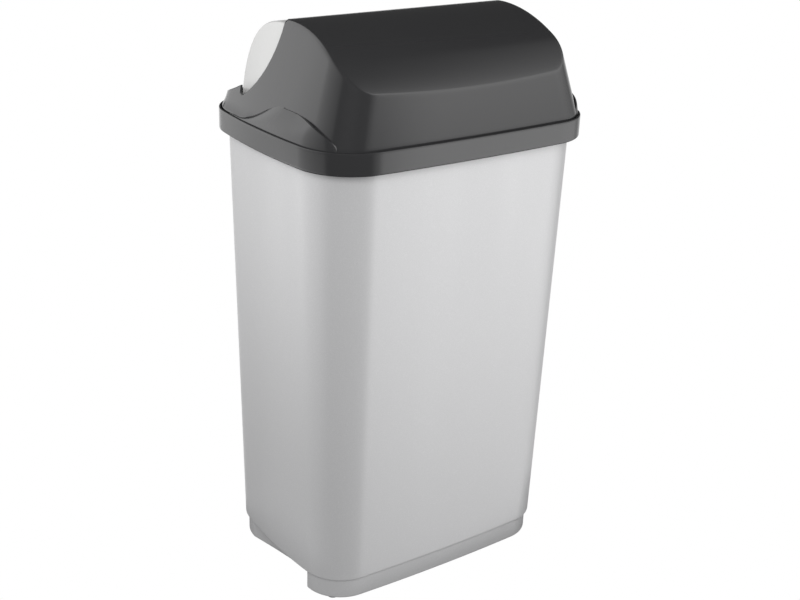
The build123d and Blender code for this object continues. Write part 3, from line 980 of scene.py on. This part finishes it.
def circle(radius):
    angles = [2 * pi * i / lathe["sides"] for i in range(lathe["sides"])]
    return [(radius * cos(angle), radius * sin(angle)) for angle in angles]


# Turns a section of (x, radius) pairs about the pivot axis, for one side or for its mirror image
def turned(section, mirror):
    return [[(x * mirror, pivot["y"] + dy, pivot["z"] + dz) for dy, dz in circle(radius)]
            for x, radius in section]


def softPairs(stops, closed=False, steps=4, support=0.8):
    return softSection([([x, r], soft) for x, r, soft in stops], closed, steps, support)


def makeBosses():
    face = flap["hubFace"] + boss["gap"]
    bottom = face + boss["holeDepth"]

    def wallMiddle(y, z):
        return halfWidthAt(lidOutline(z), y) - lid["wall"] / 2

    section = softPairs([
        (bottom, lathe["axisRadius"], 0), (bottom, pin["radius"], 0.3),
        (face, pin["radius"], 0.4), (face, boss["radius"], 0.8),
        (wallMiddle(pivot["y"], pivot["z"]), boss["radius"], 0)])
    verts, faces = [], []
    for mirror in (1, -1):
        rings = turned(section, mirror)
        rings[-1] = [(mirror * wallMiddle(y, z), y, z) for x, y, z in rings[-1]]
        addSkin(verts, faces, *skin(rings))
    piece = newObject("lidBosses", verts, faces, anthracite)
    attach(piece, "lid")
    return piece


lidPieces.append(makeBosses())
for piece in lidPieces:
    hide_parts("lid_housing")


def makePins():
    tip = flap["hubFace"] + boss["gap"] + boss["holeDepth"] - pin["endGap"]
    head = coneX(flap["hubRadius"], flap["wall"]) - pin["endGap"]
    section = softPairs([
        (tip, lathe["axisRadius"], 0), (tip, pin["radius"], 0.8), (head, pin["radius"], 0.3),
        (head, pin["headRadius"], 0.4), (head - pin["head"], pin["headRadius"], 0.8),
        (head - pin["head"], lathe["axisRadius"], 0)])
    for side, mirror in (("right", 1), ("left", -1)):
        verts, faces = skin(turned(section, mirror))
        piece = newObject("pivotPin_" + side, verts, faces, acetal)
        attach(piece, "lid")
        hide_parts("pivot_pin_" + side)


makePins()
print("bosses and pins made")


# Natural cubic spline through the given places, spaced by the distance between them
def splineThrough(points, samples):
    spans = [hypot(b[0] - a[0], b[1] - a[1]) for a, b in zip(points, points[1:])]
    count = len(points)
    curves = []
    for axis in (0, 1):
        value = [p[axis] for p in points]
        upper, right = [0.0] * count, [0.0] * count
        for i in range(1, count - 1):
            slope = (value[i + 1] - value[i]) / spans[i] - (value[i] - value[i - 1]) / spans[i - 1]
            middle = 2 * (spans[i - 1] + spans[i]) - spans[i - 1] * upper[i - 1]
            upper[i] = spans[i] / middle
            right[i] = (6 * slope - spans[i - 1] * right[i - 1]) / middle
        bend = [0.0] * count
        for i in range(count - 2, 0, -1):
            bend[i] = right[i] - upper[i] * bend[i + 1]
        curves.append((value, bend))
    total = sum(spans)
    result = []
    for k in range(samples + 1):
        reach = total * k / samples
        i = 0
        while i < count - 2 and reach > spans[i]:
            reach -= spans[i]
            i += 1
        spot = []
        for value, bend in curves:
            span = spans[i]
            left = span - reach
            spot.append(
                (bend[i] * left ** 3 + bend[i + 1] * reach ** 3) / (6 * span)
                + (value[i] / span - bend[i] * span / 6) * left
                + (value[i + 1] / span - bend[i + 1] * span / 6) * reach)
        result.append(tuple(spot))
    return result


# The flap's profile as (y, z) pairs. Its curve holds (radius, angle) pairs about the pivot axis
def flapCurve(inset):
    spots = []
    for radius, angle in flap["curve"]:
        reach, turn = radius - inset, radians(angle)
        spots.append((pivot["y"] + reach * cos(turn), pivot["z"] + reach * sin(turn)))
    reach = flap["topRadius"] - inset
    rise = sqrt(reach ** 2 - (flap["topY"] - pivot["y"]) ** 2)
    spots.append((flap["topY"], pivot["z"] + rise))
    return splineThrough(spots, flapSteps["along"])


# One section across the flap: up the left cheek's cone, over the face, down the right cheek
def flapSection(spot, inset):
    away = (spot[0] - pivot["y"], spot[1] - pivot["z"])
    reach = hypot(*away)
    stops = [([coneX(flap["hubRadius"], inset), flap["hubRadius"] * flap["coneStart"]], 0),
             ([coneX(reach, inset), reach], flap["edgeRound"] - inset * flap["innerRoundCut"]),
             ([0.0, reach], 0)]
    half = softSection(stops, steps=flapSteps["bend"], support=flapSteps["support"])
    line = []
    for (x0, r0), (x1, r1) in zip(half, half[1:]):
        parts = max(1, int(hypot(x1 - x0, r1 - r0) / flap["edgeLength"]))
        line += [(x0 + (x1 - x0) * k / parts, r0 + (r1 - r0) * k / parts) for k in range(parts)]
    line.append(tuple(half[-1]))
    line += [(-x, r) for x, r in reversed(line[:-1])]
    return [(x, pivot["y"] + away[0] / reach * r, pivot["z"] + away[1] / reach * r) for x, r in line]


def makeFlap():
    verts, faces = [], []
    for inset in (0, flap["wall"]):
        sections = [flapSection(spot, inset) for spot in flapCurve(inset)]
        addSheet(verts, faces, sections)
    # Known fault: where a cheek is shortest its section gets two points less than the first one,
    # so from there on both sheets, and the strips that close the ends, join the wrong points
    height = len(sections[0])
    innerBase = len(sections) * height
    for i in (0, flapSteps["along"]):
        for k in range(height - 1):
            a, b = i * height + k, innerBase + i * height + k
            faces.append((a, a + 1, b + 1, b))
    hubX = coneX(flap["hubRadius"], flap["wall"])
    bore = pin["radius"] + pin["clearance"]
    hub = softPairs([
        (hubX, bore, 0.4), (hubX, flap["hubRadius"], 0.4), (flap["hubFace"], flap["hubRadius"], 0.8),
        (flap["hubFace"], bore, 0.4)], closed=True)
    for mirror in (1, -1):
        addSkin(verts, faces, *skin(turned(hub, mirror), closed=True))
    piece = newObject("rollFlap", verts, faces, lightGrey)
    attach(piece, "flap")
    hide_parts("roll_flap")


makeFlap()
print("flap made")

# Foot pads: rubber buttons with a stem, and the posts under the floor that hold them
pad = {"radius": 7.5, "stemRadius": 4.0, "stem": 5.0, "edgeGap": 0.8, "round": 0.6, "postRadius": 7.0,
       "clearance": 0.1}


def footSpots():
    plinth = grow(bucketFoot, -bucket["plinthInset"])
    cx, cy = cornerCentre(plinth)
    along = (plinth[4] - pad["edgeGap"] - pad["radius"]) / sqrt(2)
    return [(sx * (cx + along), sy * (cy + along)) for sx in (-1, 1) for sy in (-1, 1)]


# Turns a section of (radius, z) pairs about an upright axis at each foot
def atFeet(section):
    verts, faces = [], []
    for fx, fy in footSpots():
        rings = [[(fx + dx, fy + dy, z) for dx, dy in circle(radius)] for radius, z in section]
        addSkin(verts, faces, *skin(rings))
    return verts, faces


def makeFeet():
    foot, axis, stemTop = level["foot"], lathe["axisRadius"], level["foot"] + pad["stem"]
    verts, faces = atFeet(softPairs([
        (axis, 0, 0), (pad["radius"], 0, pad["round"]), (pad["radius"], foot, 0.2),
        (pad["stemRadius"], foot, 0.1), (pad["stemRadius"], stemTop, 0.5),
        (axis, stemTop, 0)], steps=3, support=0.3))
    piece = newObject("footPads", verts, faces, rubber)
    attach(piece, "bucket")
    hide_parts("foot_pads")
    socket, socketTop = pad["stemRadius"] + pad["clearance"], stemTop + pad["clearance"]
    verts, faces = atFeet(softPairs([
        (axis, socketTop, 0), (socket, socketTop, 0.1), (socket, foot, 0.2),
        (pad["postRadius"], foot, 0.4), (pad["postRadius"], level["step"], 0)], steps=3, support=0.3))
    posts = newObject("footPosts", verts, faces, silver)
    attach(posts, "bucket")
    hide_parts("bucket")


makeFeet()
print("feet made")


# Camera matched to the photo: place in millimetres, angles in radians
camera = {
    "place": (-906.33, -1273.55, 995.98),
    "focalPixels": 1283.53, "imageWidth": 800, "sensor": 36.0, "clipEnd": 20.0,
    "yaw": 0.6231, "pitch": 0.3945, "roll": 0.0342,
}


def makeCamera():
    yaw, pitch, roll = camera["yaw"], camera["pitch"], camera["roll"]
    forward = Vector((sin(yaw) * cos(pitch), cos(yaw) * cos(pitch), -sin(pitch)))
    right = Vector((cos(yaw), -sin(yaw), 0))
    up = right.cross(forward)
    across = right * cos(roll) + up * sin(roll)
    above = up * cos(roll) - right * sin(roll)
    data = bpy.data.cameras.new("photoCamera")
    data.sensor_width = camera["sensor"]
    data.lens = camera["focalPixels"] * camera["sensor"] / camera["imageWidth"]
    data.clip_end = camera["clipEnd"]
    seat = bpy.data.objects.new("photoCamera", data)
    turn = Matrix((across, above, -forward)).transposed()
    seat.matrix_world = Matrix.Translation(Vector(camera["place"]) * mm) @ turn.to_4x4()
    bpy.context.scene.collection.objects.link(seat)
    bpy.context.scene.camera = seat


makeCamera()

# Studio: a dim room with softboxes drawn in the world by direction. A pair is (degrees,
# brightness): azimuth runs from +Y over +X, height is above the horizon. The boxes stand left and
# in front with a dark gap between them, which the upright corner mirrors. A paper backdrop hangs
# behind, and a lit patch of floor lies on the left. The lamp fills in from above the camera and
# isn't mirrored, and a mat that the camera doesn't see darkens what the floor throws back.
# Sizes and places of the mat and the lamp are in metres.
studio = {
    "boxes": {
        "left": {
            "azimuth": [(254, 0.0), (258, 0.38), (285, 0.95), (312, 1.4), (318, 1.9), (322, 2.1),
                        (331, 1.8), (345, 1.6), (357, 1.2), (359, 1.1)],
            "height": [(-32, 0.0), (-27, 0.1), (-20, 0.62), (-12, 0.87), (2, 1.0), (50, 1.0),
                       (72, 0.0)],
        },
        "behind": {
            "azimuth": [(0, 1.1), (20, 1.0), (60, 0.8), (82, 0.4)],
            "height": [(-45, 0.0), (-34, 0.6), (-20, 1.0), (0, 1.0), (5, 0.0)],
        },
        "front": {
            "azimuth": [(82, 0.4), (92, 1.0), (128, 2.45), (148, 2.75), (152.5, 0.8), (162, 0.4),
                        (169, 0.0)],
            "height": [(-45, 0.0), (-36, 0.3), (-29, 0.68), (-22, 0.98), (-17, 1.12), (-11, 1.05),
                       (-6, 0.6), (0, 0.55), (5, 1.0), (40, 0.8), (58, 0.0)],
        },
        "floorPatch": {
            "azimuth": [(250, 0.0), (258, 1.15), (288, 1.4), (312, 2.0), (322, 1.5), (332, 0.3),
                        (337, 0.0)],
            "height": [(-30, 0.0), (-26, 0.2), (-21, 0.85), (-19, 0.9), (-16.5, 0.0)],
        },
    },
    "room": 0.06,
    "mat": {"halfWidth": 0.31, "halfDepth": 0.165, "z": -0.001, "tone": "#6a6a6a"},
    "lamp": {"place": (-1.2, -1.5, 1.35), "size": 1.2, "power": 39.0, "aim": (0.0, 0.0, 0.4)},
}


# Brightness along one angle, given in degrees as (place, brightness) pairs
def angleRamp(tree, angle, stops):
    low, high = stops[0][0] - 1, stops[-1][0] + 1
    top = max(value for place, value in stops)
    share = addNode(tree, "ShaderNodeMapRange", {
        "Value": angle, "From Min": radians(low), "From Max": radians(high)})
    ramp = addNode(tree, "ShaderNodeValToRGB", {"Fac": share.outputs["Result"]})
    points = ramp.color_ramp.elements
    points.remove(points[1])
    points[0].position = 0.0
    points[0].color = (0, 0, 0, 1)
    for place, value in stops + [(high, 0.0)]:
        point = points.new((place - low) / (high - low))
        point.color = (value / top, value / top, value / top, 1)
    scaled = addNode(tree, "ShaderNodeMath", {0: ramp.outputs["Color"], 1: top}, operation="MULTIPLY")
    return scaled.outputs["Value"]


def makeLamp():
    lamp = studio["lamp"]
    data = bpy.data.lights.new("fillLamp", "AREA")
    data.size = lamp["size"]
    data.energy = lamp["power"]
    seat = bpy.data.objects.new("fillLamp", data)
    seat.visible_glossy = False
    place = Vector(lamp["place"])
    aim = (Vector(lamp["aim"]) - place).to_track_quat("-Z", "Y")
    seat.matrix_world = Matrix.Translation(place) @ aim.to_matrix().to_4x4()
    bpy.context.scene.collection.objects.link(seat)


# Woven cotton cloth under the bin, plain and matt: it only takes light from the bin's foot
def makeMat():
    mat = studio["mat"]
    corners = [(sx * mat["halfWidth"], sy * mat["halfDepth"], mat["z"])
               for sx, sy in ((-1, -1), (1, -1), (1, 1), (-1, 1))]
    mesh = bpy.data.meshes.new("darkMat")
    mesh.from_pydata(corners, [], [(0, 1, 2, 3)])
    cloth, tree = newMaterial("matCloth")
    cover = addNode(tree, "ShaderNodeBsdfDiffuse", {"Color": srgb(mat["tone"])})
    addNode(tree, "ShaderNodeOutputMaterial", {"Surface": cover.outputs["BSDF"]})
    mesh.materials.append(cloth)
    ground = bpy.data.objects.new("darkMat", mesh)
    ground.visible_camera = False
    bpy.context.scene.collection.objects.link(ground)


# The camera sees plain white, and all else sees the softboxes
def makeWorld():
    world = bpy.data.worlds.new("studioWorld")
    bpy.context.scene.world = world
    world.use_nodes = True
    tree = world.node_tree
    tree.nodes.clear()

    def calculate(operation, first, second=None):
        inputs = {0: first} if second is None else {0: first, 1: second}
        return addNode(tree, "ShaderNodeMath", inputs, operation=operation).outputs["Value"]

    place = addNode(tree, "ShaderNodeTexCoord")
    axes = addNode(tree, "ShaderNodeSeparateXYZ", {"Vector": place.outputs["Generated"]})
    turn = calculate("ARCTAN2", axes.outputs["X"], axes.outputs["Y"])
    turn = calculate("FLOORED_MODULO", turn, 2 * pi)
    rise = calculate("ARCSINE", axes.outputs["Z"])
    total = studio["room"]
    for box in studio["boxes"].values():
        along = angleRamp(tree, turn, box["azimuth"])
        upward = angleRamp(tree, rise, box["height"])
        total = calculate("ADD", calculate("MULTIPLY", along, upward), total)
    white = addNode(tree, "ShaderNodeBackground", {"Color": (1, 1, 1, 1), "Strength": 1.0})
    room = addNode(tree, "ShaderNodeBackground", {"Color": (1, 1, 1, 1), "Strength": total})
    path = addNode(tree, "ShaderNodeLightPath")
    shader = addNode(tree, "ShaderNodeMixShader", {
        0: path.outputs["Is Camera Ray"],
        1: room.outputs["Background"], 2: white.outputs["Background"]})
    addNode(tree, "ShaderNodeOutputWorld", {"Surface": shader.outputs["Shader"]})


makeLamp()
makeMat()
makeWorld()
bpy.context.scene.view_settings.view_transform = "Standard"
print("camera and studio made")
